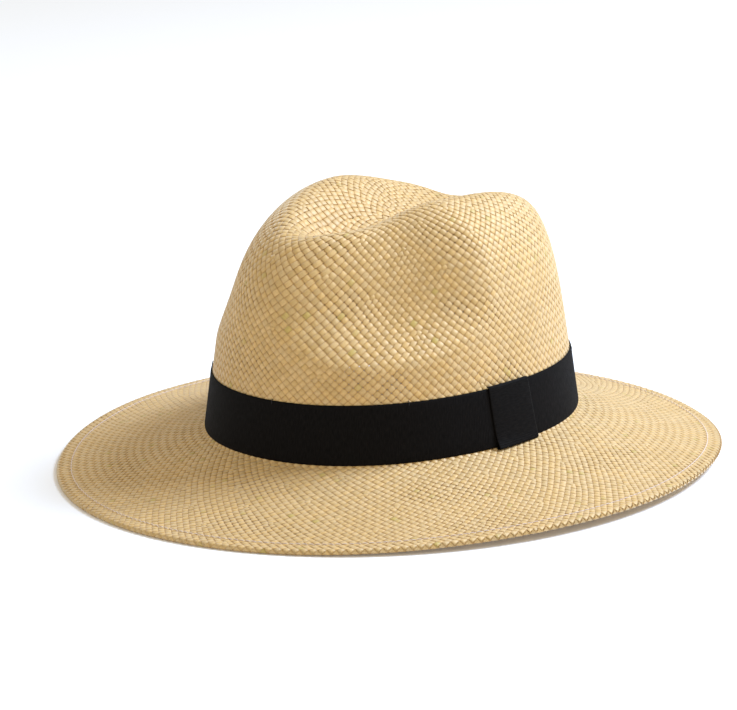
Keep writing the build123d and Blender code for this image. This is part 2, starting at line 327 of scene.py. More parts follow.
# ---- The straw sheet ----
# "way" runs from the crown's top, 0, to its base, 1, out along the brim to the fold, 2, round
# the fold, 3, and back under the brim to the end of the hem, 4. "place" is the same in metres.

def crown_frame(angle, share):
    climb = (1 - share) * math.pi / 2
    normal = outward_normal(crown_point, angle, np.minimum(climb, math.pi / 2 - 0.01))
    return crown_point(angle, climb) - normal * SHEET / 2, normal


def brim_frame(angle, share):
    normal = outward_normal(brim_point, angle, share)
    return brim_point(angle, share) - normal * SHEET / 2, normal


def fold_frame(angle, share):
    turn = share * math.pi
    normal = edge_outward(angle) * np.sin(turn)[..., None] + upright(np.cos(turn))
    centre = brim_point(angle, np.ones_like(angle)) - upright(np.full(angle.shape, FOLD_RADIUS))
    return centre + normal * (FOLD_RADIUS - SHEET / 2), normal


def ply_frame(angle, share):
    inset = share * HEM_WIDTH
    gap = HEM_PLY_GAP + (2 * REED_ROOM - HEM_PLY_GAP) * (1 - smooth(inset, 0, HEM_CLOSE))
    run = 1 - inset / BRIM_WIDTH
    normal = outward_normal(brim_point, angle, run)
    return brim_point(angle, run) - normal * (1.5 * SHEET + gap)[..., None], -normal


def sheet_frame(angle, way):
    """The middle of the straw sheet, and the normal of its outer side."""
    point = np.empty(angle.shape + (3,))
    normal = np.empty(angle.shape + (3,))
    for start, part in enumerate((crown_frame, brim_frame, fold_frame, ply_frame)):
        here = (way > start) & (way <= start + 1)
        if start == 0:
            here |= way <= 0
        if here.any():
            point[here], normal[here] = part(angle[here], way[here] - start)
    return point, normal


def measure_meridians():
    """Ways out from the top, the mean distance from the top to each, and each ring's length."""
    ways = np.concatenate([np.linspace(0.004, 1, 500), np.linspace(1, 2, 400)[1:],
                           np.linspace(2, 3, 60)[1:], np.linspace(3, 4, 80)[1:]])
    grid_way, grid_angle = np.meshgrid(ways, np.linspace(0, TAU, 96, endpoint=False),
                                       indexing="ij")
    grid, _ = sheet_frame(grid_angle, grid_way)
    steps = np.linalg.norm(np.diff(grid, axis=0), axis=-1).mean(1)
    around = np.linalg.norm(grid - np.roll(grid, 1, axis=1), axis=-1).sum(1)
    return ways, np.concatenate([[0], np.cumsum(steps)]), around


WAYS, PLACES, AROUND = measure_meridians()
BASE_PLACE = np.interp(1, WAYS, PLACES)


def sheet_at(even, place):
    """The sheet's middle and normal where a ring's evenly spaced angle and a place meet."""
    way = np.interp(place, PLACES, WAYS)
    draw = CROWN_DRAW - (CROWN_DRAW - BRIM_DRAW) * np.clip(way - 1, 0.0, 1.0)
    angle = even + draw * np.sin(2 * even)
    point, normal = sheet_frame(angle, way)
    near = np.abs(place - BASE_PLACE) < CORNER_ROUND
    if near.any():
        angle, share = angle[near], (place[near] - BASE_PLACE + CORNER_ROUND) / (2 * CORNER_ROUND)
        ends = np.interp([BASE_PLACE - CORNER_ROUND, BASE_PLACE + CORNER_ROUND], PLACES, WAYS)
        (p0, n0), (p1, n1) = (sheet_frame(angle, np.full(angle.shape, end)) for end in ends)
        corner = crown_point(angle, 0 * angle) - (n0 + n1) * SHEET / 2
        t = share[:, None]
        point[near] = (1 - t) ** 2 * p0 + 2 * t * (1 - t) * corner + t ** 2 * p1
        normal[near] = unit((1 - t) * n0 + t * n1)
    return point, normal


# ---- Meshes ----

def tube_faces(lengths, corners):
    """Quads over tubes of so many stations each, with so many corners to a station, capped."""
    stops = np.cumsum(lengths)
    rows = np.setdiff1d(np.arange(stops[-1]), stops - 1)[:, None] * corners
    ring = np.arange(corners)
    here, beside = rows + ring, rows + (ring + 1) % corners
    body = np.stack([here, beside, beside + corners, here + corners], -1).reshape(-1, 4)
    half = np.arange(corners // 2 - 1)
    cap = np.stack([half, half + 1, corners - 2 - half, corners - 1 - half], -1)
    ends = ((stops - 1)[:, None, None] * corners + cap).reshape(-1, 4)
    starts = ((stops - lengths)[:, None, None] * corners + cap[:, ::-1]).reshape(-1, 4)
    return np.concatenate([body, ends, starts])


def new_piece(name, stations, lengths, material, coords, tone=None):
    """A smooth piece from stations of corners; coords and tone go with each corner."""
    corners = stations.shape[1]
    points = stations.reshape(-1, 3)
    quads = tube_faces(np.asarray(lengths), corners)
    mesh = bpy.data.meshes.new(name)
    mesh.vertices.add(len(points))
    mesh.vertices.foreach_set("co", points.ravel())
    mesh.loops.add(quads.size)
    mesh.loops.foreach_set("vertex_index", quads.ravel().astype(np.int32))
    mesh.polygons.add(len(quads))
    mesh.polygons.foreach_set("loop_start", np.arange(0, quads.size, 4, dtype=np.int32))
    mesh.polygons.foreach_set("loop_total", np.full(len(quads), 4, np.int32))
    mesh.update(calc_edges=True)
    mesh.shade_smooth()
    layer = mesh.uv_layers.new(name="weave")
    layer.data.foreach_set("uv", coords.reshape(-1, 2)[quads.ravel()].ravel())
    if tone is not None:
        layer = mesh.color_attributes.new("tone", "FLOAT_COLOR", "POINT")
        full = np.concatenate([tone.reshape(-1, 3), np.ones((len(points), 1))], 1)
        layer.data.foreach_set("color", full.ravel())
    mesh.materials.append(material)
    piece = bpy.data.objects.new(name, mesh)
    bpy.context.scene.collection.objects.link(piece)
    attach(piece, "root")
    return piece


# ---- Materials ----

class Material:
    """A principled material whose inputs are set to values or to nodes."""

    def __init__(self, name):
        self.material = bpy.data.materials.new(name)
        self.material.use_nodes = True
        self.nodes = self.material.node_tree.nodes
        self.links = self.material.node_tree.links
        self.shader = self.nodes["Principled BSDF"]

    def node(self, kind, **inputs):
        """A node, with its inputs by name; settings of the node itself go in by attribute."""
        made = self.nodes.new(kind)
        for key, value in inputs.items():
            self.put(made, key.replace("_", " "), value)
        return made

    def put(self, node, key, value):
        socket = node.inputs[key]
        if isinstance(value, bpy.types.NodeSocket):
            self.links.new(value, socket)
        else:
            socket.default_value = value

    def set(self, **inputs):
        for key, value in inputs.items():
            self.put(self.shader, key.replace("_", " "), value)

    def stretched(self, source, x, y):
        """Texture coordinates, scaled across and along."""
        return self.node("ShaderNodeMapping", Vector=source, Scale=(x, y, 1)).outputs["Vector"]

    def noise(self, vector, scale, detail=3.0):
        made = self.node("ShaderNodeTexNoise", Vector=vector, Scale=scale, Detail=detail)
        return made.outputs["Fac"]

    def between(self, value, low, high, start=0.3, stop=0.7):
        """low to high, as the value goes from start to stop."""
        made = self.node("ShaderNodeMapRange", Value=value)
        for key, number in (("From Min", start), ("From Max", stop), ("To Min", low),
                            ("To Max", high)):
            made.inputs[key].default_value = number
        return made.outputs["Result"]

    def scaled(self, colour, value):
        """A colour made lighter or darker by a value."""
        made = self.node("ShaderNodeVectorMath")
        made.operation = "SCALE"
        self.put(made, "Vector", colour)
        self.put(made, "Scale", value)
        return made.outputs["Vector"]

    def bump(self, height, strength, distance):
        made = self.node("ShaderNodeBump", Height=height, Strength=strength, Distance=distance)
        self.put(self.shader, "Normal", made.outputs["Normal"])

    def weave_coords(self):
        made = self.nodes.new("ShaderNodeUVMap")
        made.uv_map = "weave"
        return made.outputs["UV"]

    def place_coords(self):
        return self.nodes.new("ShaderNodeTexCoord").outputs["Object"]


def straw_material():
    """Flat paper straw: fibres along it, a soft satin face, and its own colour for each straw, with
    painted shade at its edges and where it dips under.
    """
    made = Material("paper_straw")
    # The tone holds each straw's own colour together with the painted shade at its edges and dips
    tone = made.nodes.new("ShaderNodeAttribute")
    tone.attribute_name = "tone"
    coords = made.weave_coords()
    fibre = made.noise(made.stretched(coords, 1.0, 0.16), 7.0)
    speck = made.noise(made.stretched(coords, 1.0, 0.5), 2.2, 4.0)
    shade = made.node("ShaderNodeMath")
    shade.operation = "MULTIPLY"
    made.put(shade, 0, made.between(fibre, 0.90, 1.07))
    made.put(shade, 1, made.between(speck, 0.93, 1.05))
    made.set(Base_Color=made.scaled(tone.outputs["Color"], shade.outputs[0]),
             Roughness=made.between(fibre, 0.58, 0.45), Specular_IOR_Level=0.65,
             Specular_Tint=(1.0, 0.97, 0.86, 1), Sheen_Weight=0.5, Sheen_Roughness=0.4,
             Sheen_Tint=(1.0, 0.93, 0.78, 1))
    made.bump(fibre, 0.25, 0.15 * MM)
    return made.material


def ribbon_material():
    """Black grosgrain: dull threads with a faint sheen along the ribs."""
    made = Material("black_grosgrain")
    coords = made.weave_coords()
    thread = made.noise(made.stretched(coords, 1.0, 0.2), 1600.0)
    made.set(Base_Color=made.scaled((0.0044, 0.0037, 0.0034), made.between(thread, 0.7, 1.6)),
             Roughness=made.between(thread, 0.75, 0.6), Specular_IOR_Level=0.06,
             Sheen_Weight=0.02, Sheen_Roughness=0.35)
    made.bump(thread, 0.2, 0.05 * MM)
    return made.material


def thread_material(name, colour):
    """Twisted thread: slanting plies, painted a little lighter on their crowns and darker between
    them, as painted light and shade.
    """
    made = Material(name)
    plies = made.nodes.new("ShaderNodeTexWave")
    made.put(plies, "Vector", made.weave_coords())
    plies.bands_direction = "DIAGONAL"
    plies.inputs["Scale"].default_value = 1.0
    fac = plies.outputs["Fac"]
    # Painted light and shade: the colour is lighter on each ply's crown and darker in the hollows
    # between plies
    made.set(Base_Color=made.scaled(colour, made.between(fac, 0.82, 1.08, 0.0, 1.0)),
             Roughness=0.55, Specular_IOR_Level=0.3)
    made.bump(fac, 0.5, 0.05 * MM)
    return made.material


def lining_material():
    """Beige cotton tape: fine threads, slightly mottled."""
    made = Material("cotton_twill")
    coords = made.weave_coords()
    thread = made.noise(made.stretched(coords, 1.0, 0.3), 1200.0)
    mottle = made.noise(made.place_coords(), 60.0)
    shade = made.node("ShaderNodeMath")
    shade.operation = "MULTIPLY"
    made.put(shade, 0, made.between(thread, 0.86, 1.08))
    made.put(shade, 1, made.between(mottle, 0.93, 1.04))
    made.set(Base_Color=made.scaled((0.62, 0.50, 0.34), shade.outputs[0]), Roughness=0.85,
             Specular_IOR_Level=0.2, Sheen_Weight=0.1)
    made.bump(thread, 0.3, 0.08 * MM)
    return made.material


def label_material():
    """Blank satin label: fine lengthwise threads."""
    made = Material("label_satin")
    thread = made.noise(made.stretched(made.weave_coords(), 0.1, 1.0), 1500.0)
    made.set(Base_Color=made.scaled((0.80, 0.78, 0.72), made.between(thread, 0.92, 1.05)),
             Roughness=made.between(thread, 0.5, 0.38), Sheen_Weight=0.1)
    made.bump(thread, 0.2, 0.05 * MM)
    return made.material


def reed_material():
    """Drawn plastic line: cloudy, its gloss uneven."""
    made = Material("edge_reed")
    cloud = made.noise(made.place_coords(), 90.0)
    made.set(Base_Color=made.scaled((0.70, 0.64, 0.50), made.between(cloud, 0.85, 1.05)),
             Roughness=made.between(cloud, 0.5, 0.3), Subsurface_Weight=0.1)
    return made.material


# ---- The weave ----

def weave_rows():
    """The place and the straw count of each row of crossings, out to the end of the hem."""
    pitch = CROWN_PITCH + (EDGE_PITCH - CROWN_PITCH) * smooth(WAYS, 1.0, 1.8)
    wanted = np.maximum.accumulate(AROUND / (pitch * math.sqrt(2)))
    place, count, rows = np.interp(START_STRAWS, wanted, PLACES), START_STRAWS, []
    while place < PLACES[-1]:
        rows.append((place, count))
        place += np.interp(place, PLACES, AROUND) / (2 * count)
        count = max(count, round(float(np.interp(place, PLACES, wanted))))
    return np.array([place for place, _ in rows]), [count for _, count in rows]


def weave_crossings(counts):
    """Each crossing's even angle and row, and the next crossings along its two straws.

    A row's crossings lie midway between those of the row before. Where it needs more, a folded
    straw starts at a new crossing there and adds a straw to each family.
    """
    rings = [TAU * np.arange(counts[0]) / counts[0]]
    nexts, first, added = [], 0, 0
    for count, new_count in zip(counts, counts[1:]):
        here = rings[-1]
        middles = here + ((np.roll(here, -1) - here) % TAU) / 2
        extra = []
        for _ in range(new_count - count):
            off = np.abs((here - added * ADDED_TURN + math.pi) % TAU - math.pi)
            off[[k for k, angle in enumerate(here) if angle in extra]] = TAU
            extra.append(here[np.argmin(off)])
            added += 1
        keys = np.concatenate([middles, extra]) % TAU
        rank = np.argsort(np.argsort(keys))
        first += count
        after = first + rank[:count]
        nexts.append(np.stack([np.roll(after, 1), after]))
        rings.append(np.sort(keys))
    nexts.append(np.full((2, counts[-1]), -1))
    row_of = np.repeat(np.arange(len(counts)), counts)
    return np.concatenate(rings), row_of, np.concatenate(nexts, axis=1)


def backwards(next_one):
    """The crossing before each one along its straw, or -1."""
    before = np.full(len(next_one), -1)
    nodes = np.nonzero(next_one >= 0)[0]
    before[next_one[nodes]] = nodes
    return before


def even_out(even, row_of, nexts):
    """Draws each crossing towards the middle of its neighbours, so added straws ease in."""
    neighbours = np.stack([*nexts, *(backwards(one) for one in nexts)])
    there = neighbours >= 0
    for _ in range(EVEN_ROUNDS):
        gap = (even[neighbours] - even + math.pi) % TAU - math.pi
        pull = np.where(there, gap, 0.0).sum(0) / there.sum(0)
        even = even + np.where(row_of > 0, EVEN_SHARE * pull, 0.0)
    return even


def straw_spacing(spots, own, other, outside):
    """How far apart this family's straws run at each crossing."""
    nodes = np.arange(len(spots))
    own_on, own_back, other_on, other_back = (
        np.where(one >= 0, one, nodes) for one in (own, backwards(own), other, backwards(other)))
    along = unit(spots[own_on] - spots[own_back])
    sides = np.stack([np.linalg.norm(np.cross(along, spots[side] - spots), axis=1)
                      for side in (other_on, other_back)])
    spacing = sides.sum(0) / np.maximum((sides > 0).sum(0), 1)
    return np.where(outside, EDGE_PITCH, spacing)


def straw_paths(next_one):
    """Each straw of a family, as the list of its crossings from its start."""
    paths = []
    for node in np.nonzero(backwards(next_one) < 0)[0]:
        path = [node]
        while next_one[path[-1]] >= 0:
            path.append(next_one[path[-1]])
        if len(path) > 1:
            paths.append(np.array(path))
    return paths


def eased(values, shares):
    """Values at a straw's crossings, read between them through a smooth curve."""
    padded = np.concatenate([[2 * values[0] - values[1]], values, [2 * values[-1] - values[-2]]])
    base = np.clip(np.floor(shares).astype(int), 0, len(values) - 2)
    t = shares - base
    p0, p1, p2, p3 = (padded[base + k] for k in range(4))
    return 0.5 * (2 * p1 + (p2 - p0) * t + (2 * p0 - 5 * p1 + 4 * p2 - p3) * t ** 2
                  + (3 * p1 - p0 - 3 * p2 + p3) * t ** 3)


def straw_shades(rng, count):
    """A colour for each crossing of one straw: its own shade, with a few ochre lengths."""
    own = np.array(STRAW_COLOUR) * rng.uniform(0.93, 1.06)
    pale = rng.uniform(0, 0.35)
    own = own * (1 - pale) + np.array(PALE_COLOUR) * pale
    colours = own * rng.uniform(0.94, 1.05, (count, 1))
    ochre = (rng.random(count) < OCHRE_SHARE)[:, None] * rng.uniform(0.35, 0.9, (count, 1))
    return colours * (1 - ochre) + np.array(OCHRE_COLOUR) * ochre


def looseness(angle, place):
    """A slow pattern, from 0 to 1, of where the weave is loose."""
    pattern = np.sin(3 * angle + 75 * place + 2) * np.sin(5 * angle - 110 * place)
    return smooth(pattern, 0.1, 0.8)


def straw_stations(path, weave, spacing, rng):
    """One straw's stations: angle, place, half width, row and colour."""
    even, row_of, places = weave
    steps = (np.arange(len(path) - 1)[:, None] + STATIONS).ravel()
    shares = np.concatenate([[-STRAW_START], steps, [len(path) - 1]])
    rows = row_of[path[0]] + shares
    inside = np.maximum(shares, 0)
    angle = eased(np.unwrap(even[path]), shares)
    place = np.interp(rows, np.arange(-1, len(places)),
                      np.concatenate([[2 * places[0] - places[1]], places]))
    neck = STRAW_NECK + STRAW_SLACK * rng.uniform(0.0, 1.0) * looseness(angle, place)
    tight = rng.uniform(0.98, 1.0) - neck * np.abs(2 * (rows - np.round(rows))) ** 2
    half = np.minimum(STRAW_WIDTH, eased(spacing[path], inside) * tight) / 2
    colours = straw_shades(rng, len(path))[np.round(inside).astype(int)]
    return angle, place, half, rows, colours


def skew_across(angle, place, along):
    """The step in angle and place that goes one metre square across each straw."""
    small_angle, small_place = 1e-3, 0.05 * MM
    t_angle = (sheet_at(angle + small_angle, place)[0]
               - sheet_at(angle - small_angle, place)[0]) / (2 * small_angle)
    t_place = (sheet_at(angle, place + small_place)[0]
               - sheet_at(angle, place - small_place)[0]) / (2 * small_place)
    e, f, g = ((a * b).sum(-1) for a, b in ((t_angle, t_angle), (t_angle, t_place),
                                            (t_place, t_place)))
    step = np.stack([f * along[0] + g * along[1], -(e * along[0] + f * along[1])])
    size = np.sqrt(e * step[0] ** 2 + 2 * f * step[0] * step[1] + g * step[1] ** 2)
    return step / np.maximum(size, 1e-12)


# A straw's corners, across it in half widths and up in thicknesses: two edges and four between
STRAW_ACROSS = np.array([1.0, 0.87, -0.87, -1.0, -0.87, 0.87])
STRAW_UP = np.array([-0.05, 0.5, 0.5, -0.05, -0.5, -0.5])


def weave_piece(name, straws, over, material):
    """One piece of the weave: straws of one family, each rising over and dipping under."""
    lengths = [len(straw[0]) for straw in straws]
    angle, place, half, rows, colours = (np.concatenate(part) for part in zip(*straws))
    along = np.concatenate([np.stack([np.gradient(s[0]), np.gradient(s[1])]) for s in straws], 1)
    step = skew_across(angle, place, along) * half
    nearest = np.round(rows)
    between = np.abs(2 * (rows - nearest))
    rise = 1 - between ** WAVE_FLATNESS
    height = over * STRAW_WAVE * np.where(nearest % 2, -rise, rise)
    stations = np.empty((len(angle), len(STRAW_ACROSS), 3))
    for k, (across, up) in enumerate(zip(STRAW_ACROSS, STRAW_UP)):
        middle, normal = sheet_at(angle + across * step[0], place + across * step[1])
        stations[:, k] = middle + normal * (height + up * STRAW_DEPTH)[:, None]
    coords = np.empty(stations.shape[:2] + (2,))
    coords[..., 0] = STRAW_ACROSS
    # Each piece's fibres start somewhere else
    coords[..., 1] = rows[:, None] * FIBRE_STEP + angle[0] * 7
    # Painted shade: each straw's colour is darkened at its edges and where it dips under, for the
    # shade in the grooves
    painted_groove_shade = np.where(np.abs(STRAW_ACROSS[:, None]) == 1, PAINTED_EDGE_SHADE, 1.0)
    painted_dip_shade = 1 - (1 - PAINTED_DIP_SHADE) * between[:, None] ** PAINTED_DIP_FLATNESS
    tone = colours[:, None] * painted_groove_shade * painted_dip_shade[:, None]
    piece = new_piece(name, stations, lengths, material, coords, tone)
    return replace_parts(piece, "straw_body")


def weave_hat(material):
    """The crown, brim and hem, as two families of straws in pieces of a sector each."""
    rng = np.random.default_rng(11)
    places, counts = weave_rows()
    even, row_of, nexts = weave_crossings(counts)
    even = even_out(even, row_of, nexts)
    spots, _ = sheet_at(even, places[row_of])
    outside = places[row_of] > np.interp(EDGE_WAY, WAYS, PLACES)
    for family, over in ((0, 1), (1, -1)):
        spacing = straw_spacing(spots, nexts[family], nexts[1 - family], outside)
        sectors = [[] for _ in range(SECTORS)]
        for path in straw_paths(nexts[family]):
            straw = straw_stations(path, (even, row_of, places), spacing, rng)
            sectors[int(straw[0][-1] % TAU / TAU * SECTORS) % SECTORS].append(straw)
        for k, straws in enumerate(sectors):
            weave_piece(f"straws_{'ab'[family]}_{k + 1}", straws, over, material)


def weave_button(material):
    """The small patch of three by three strips that closes the top, over the straws' ends."""
    pitches = np.linspace(-BUTTON_REACH, BUTTON_REACH, 19)
    nearest = np.clip(np.round(pitches), -1, 1)
    rise = np.clip(1 - np.abs(2 * (pitches - nearest)) ** WAVE_FLATNESS, 0, 1)
    stations, coords = [], []
    for family in (0, 1):
        for lane in (-1, 0, 1):
            over = np.where((nearest + lane) % 2 == family, 1, -1)
            height = BUTTON_LIFT + STRAW_WAVE * over * rise
            ring = np.empty((len(pitches), len(STRAW_ACROSS), 3))
            for k, (across, up) in enumerate(zip(STRAW_ACROSS, STRAW_UP)):
                side = np.full(len(pitches), lane + across * BUTTON_HALF_WIDTH)
                spot = [pitches * BUTTON_PITCH, side * BUTTON_PITCH]
                u, v = spot if family == 0 else spot[::-1]
                middle, normal = sheet_at(np.arctan2(v, u), np.hypot(u, v))
                ring[:, k] = middle + normal * (height + up * STRAW_DEPTH)[:, None]
            stations.append(ring if family == 0 else ring[:, ::-1])
            # Each strip's fibres start somewhere else
            fibres = pitches[:, None] * FIBRE_STEP + lane * 9 + family * 31
            coords.append(np.stack(np.broadcast_arrays(STRAW_ACROSS, fibres), -1))
    stations = np.concatenate(stations)
    tone = np.broadcast_to(np.array(STRAW_COLOUR), stations.shape)
    piece = new_piece("straw_button", stations, [len(pitches)] * 6, material,
                      np.concatenate(coords), tone)
    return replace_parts(piece, "straw_body")


straw = straw_material()
weave_hat(straw)
weave_button(straw)


# ---- Ribbon, tab and sweatband ----

# Where a strip of cloth is measured across its width, and how thick it is there
SELVEDGE = np.array([0.0, 0.012, 0.04, 0.2, 0.4, 0.6, 0.8, 0.96, 0.988, 1.0])
SELVEDGE_FULL = np.array([0.3, 0.75, 1.0, 1.0, 1.0, 1.0, 1.0, 1.0, 0.75, 0.3])
RIB_PITCH = 1.0 * MM
RIB_HEIGHT = 0.11 * MM
RIB_STATIONS = 4
# The ribbon's top edge stands off a little here and there; the lining's ribs are wider
RIBBON_EASE = 0.12 * MM
LINING_RIB_SCALE = 1.25
# The label's ends are turned under from the first distance to the second, which makes them this
# much thicker. Its middle is puffed, and it and its back stand off the sweatband a little
LABEL_FOLD = (1.0 * MM, 3.0 * MM)
LABEL_FOLD_EXTRA = 0.4
LABEL_PUFF = 0.2 * MM
LABEL_PUFF_REACH = 8.0 * MM
LABEL_GAP = 0.03 * MM
LABEL_BACK = 0.02 * MM


def rib_profile(travel):
    """The height of the ribs that cross a woven tape, along its length."""
    return RIB_HEIGHT * np.abs(np.sin(np.pi * travel / RIB_PITCH)) ** 0.8


def closed_section(face, back):
    """Stations of a strip's corners: up its face and down its back."""
    return np.concatenate([face, back[:, ::-1]], axis=1)


def tape_coords(travel, share, width):
    """Each corner's length along the tape and width across it, in metres."""
    across = np.concatenate([share, share[::-1]]) * width
    coords = np.empty((len(travel), len(across), 2))
    coords[..., 0], coords[..., 1] = travel[:, None], across[None, :]
    return coords


def tape_piece(name, sections, travel, width, material, node):
    """A woven tape: a closed, ribbed strip, its coords laid out as the flat cloth that it was cut
    from.
    """
    piece = new_piece(name, sections, [len(sections)], material,
                      tape_coords(travel, SELVEDGE, width))
    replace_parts(piece, node)
    return piece


def make_ribbon(material):
    """The ribbon: once round the crown and lapped over its start, its top edge a little easy."""
    start = TAB_ANGLE - BAND_OVERLAP / 2 / ARC_PER_DEGREE
    length = 360 * ARC_PER_DEGREE + BAND_OVERLAP
    travel = np.linspace(0, length, int(length / RIB_PITCH * RIB_STATIONS))
    angle = np.radians(start + travel / ARC_PER_DEGREE)[:, None]
    lap = smooth(travel, length - BAND_RISE_LENGTH - BAND_OVERLAP, length - BAND_OVERLAP)
    ease = RIBBON_EASE * (1 + np.sin(5 * angle + 1) * np.cos(11 * angle)) * SELVEDGE ** 3
    near = BAND_CLEARANCE + ((BAND_THICKNESS + BAND_CLEARANCE) * lap)[:, None] + ease
    rise = BAND_LIFT + BAND_HEIGHT * SELVEDGE[None, :]
    full = BAND_THICKNESS * SELVEDGE_FULL
    ribs = rib_profile(travel)[:, None]
    face = wall_point(angle, rise, near + full - RIB_HEIGHT / 2 + ribs * SELVEDGE_FULL)
    back = wall_point(angle, rise, near + BAND_THICKNESS * (1 - SELVEDGE_FULL) / 2)
    sections = closed_section(face, back)[:, ::-1]
    return tape_piece("ribbon_band", sections, travel, BAND_HEIGHT, material,
                      "hat_band")


# The tab's middle line, from under the band, up its face and over its top edge: how far it is
# outside the wall, how far it stands out more at its front lower corner, and its height
TAB_LINE = np.array([(0.40, 0.0, -0.05), (1.2, 0.3, -0.35), (1.95, 1.0, -0.25),
                     (2.1, 0.75, 1.0), (1.95, 0.3, 4.0), (1.86, 0.05, 9.0), (1.86, 0.0, 15.0),
                     (1.86, 0.0, 22.0), (1.88, 0.0, 27.5), (1.85, 0.0, 29.8),
                     (1.35, 0.0, 30.45), (0.6, 0.0, 30.35)]) * MM
TAB_FLARE = 1.7
TAB_THICKNESS = 0.55 * MM


def make_tab(material):
    """The tab: a short ribbon folded over both edges of the band, its front corner standing off."""
    shares = np.linspace(0, len(TAB_LINE) - 1, 200)
    out, flare, rise = (eased(TAB_LINE[:, k], shares) for k in range(3))
    slope = unit(np.stack([np.gradient(out), np.gradient(rise)], -1))
    travel = np.concatenate([[0], np.cumsum(np.hypot(np.diff(out), np.diff(rise)))])
    across = (SELVEDGE - 0.5) * TAB_WIDTH
    lean = TAB_LEAN * (rise - BAND_HEIGHT / 2)[:, None] / MM
    angle = np.radians(TAB_ANGLE + across[None, :] / ARC_PER_DEGREE - lean)
    stand = flare[:, None] * TAB_FLARE * (1 - SELVEDGE[None, :]) ** 1.3
    faces = []
    for side in (1, -1):
        ribs = (rib_profile(travel) - RIB_HEIGHT / 2)[:, None] * (side > 0)
        offset = (side * TAB_THICKNESS / 2 * SELVEDGE_FULL)[None, :] + ribs
        faces.append(wall_point(angle, rise[:, None] - offset * slope[:, :1],
                                out[:, None] + stand + offset * slope[:, 1:]))
    sections = closed_section(*faces)
    return tape_piece("ribbon_tab", sections, travel, TAB_WIDTH, material,
                      "band_tab")


def lining_depth(rise):
    """How far inside the wall's outer face the sweatband's outer face is."""
    spread = SWEATBAND_GAP_HIGH - SWEATBAND_GAP_LOW
    return SHEET + SWEATBAND_GAP_LOW + spread * rise / SWEATBAND_HEIGHT


def make_sweatband(material):
    """The sweatband: a ribbed cotton tape, its two ends meeting at the back."""
    half_gap = SEAM_GAP / 2 / ARC_PER_DEGREE
    length = 360 * ARC_PER_DEGREE - SEAM_GAP
    travel = np.linspace(0, length, int(length / RIB_PITCH * RIB_STATIONS / LINING_RIB_SCALE))
    angle = np.radians(180 + half_gap + travel / ARC_PER_DEGREE)[:, None]
    rise = SWEATBAND_HEIGHT * SELVEDGE[None, :]
    deep = lining_depth(rise)
    ribs = rib_profile(travel / LINING_RIB_SCALE)[:, None]
    inner = deep + SWEATBAND_THICKNESS * SELVEDGE_FULL - RIB_HEIGHT + ribs * SELVEDGE_FULL
    face = wall_point(angle, rise, -inner)
    back = wall_point(angle, rise, -deep - SWEATBAND_THICKNESS * (1 - SELVEDGE_FULL) / 2)
    return tape_piece("sweatband_tape", closed_section(face, back), travel, SWEATBAND_HEIGHT,
                      material, "sweatband")


def make_label(material):
    """The blank label, its ends turned under and its middle a little puffed."""
    half = LABEL_WIDTH / 2 / ARC_PER_DEGREE
    share = np.linspace(0, 1, 49)
    angle = np.radians(90 - half + 2 * half * share)[:, None]
    rise = LABEL_RISE + LABEL_HEIGHT * SELVEDGE[None, :]
    edge = np.minimum(share, 1 - share)[:, None] * LABEL_WIDTH
    folded = 1 + LABEL_FOLD_EXTRA * smooth(-edge, -LABEL_FOLD[1], -LABEL_FOLD[0])
    full = SELVEDGE_FULL * smooth(edge, -0.5 * MM, 0.5 * MM) * folded
    puff = LABEL_PUFF * smooth(edge, 0, LABEL_PUFF_REACH) * (1 - (2 * SELVEDGE - 1) ** 2)
    deep = lining_depth(rise) + SWEATBAND_THICKNESS + LABEL_GAP
    face = wall_point(angle, rise, -deep - LABEL_THICKNESS * full - puff)
    back = wall_point(angle, rise, -deep - LABEL_BACK)
    return tape_piece("blank_label", closed_section(face, back), share * LABEL_WIDTH,
                      LABEL_HEIGHT, material, "size_label")


# ---- Threads ----

THREAD_CORNERS = 8
TWISTS = 9
# A stitch's stations along it, and how far down it dives at each: only near its two ends
STITCH_SHARES = np.linspace(0, 1, 9)
STITCH_DIVES = np.abs(2 * STITCH_SHARES - 1) ** 5
HEM_STITCH_PROUD = 0.17 * MM
HEM_STITCH_DIVE = 0.55 * MM
HEM_STITCH_SLANT = 0.35 * MM
LINING_STITCH_DIVE = 0.5 * MM
SEAM_STITCH_PROUD = 0.05 * MM
# How much of its share of the line a stitch takes up
STITCH_FILL = 0.9
# A tack's line over the ribbon's top edge: how far outside the wall, and how far above the edge
TACK_LINE = np.array([(-0.3, 0.55), (0.1, 0.5), (0.6, 0.42), (0.95, 0.2), (1.08, -0.2),
                      (1.08, -0.8), (1.0, -1.3), (0.85, -1.6), (0.5, -1.75)]) * MM


def thread_stations(points, normal):
    """Corners round a thread's middle points, for many stitches of as many points each."""
    along = unit(np.gradient(points, axis=-2))
    side = unit(np.cross(along, normal))
    out = np.cross(side, along)
    turn = TAU * np.arange(THREAD_CORNERS) / THREAD_CORNERS
    ring = side[..., None, :] * np.cos(turn)[:, None] + out[..., None, :] * np.sin(turn)[:, None]
    return points[..., None, :] + ring * THREAD_RADIUS


def thread_piece(name, points, normal, material, node):
    """Stitches, each a short thread; points and normal are per stitch and per station."""
    stitches, stations = points.shape[:2]
    corners = thread_stations(points, normal).reshape(-1, THREAD_CORNERS, 3)
    coords = np.empty(corners.shape[:2] + (2,))
    coords[..., 0] = np.tile(STITCH_SHARES, stitches)[:, None] * TWISTS
    coords[..., 1] = np.arange(THREAD_CORNERS) / 2
    piece = new_piece(name, corners, [stations] * stitches, material, coords)
    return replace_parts(piece, node)


def stitch_ring(count, lean=0.0):
    """Each stitch's stations round a ring: angle, how deep it dives, and how far it slants."""
    share = (np.arange(count)[:, None] + 0.5 + STITCH_FILL * (STITCH_SHARES - 0.5)) / count
    return TAU * share, np.broadcast_to(STITCH_DIVES, share.shape), lean * (STITCH_SHARES - 0.5)


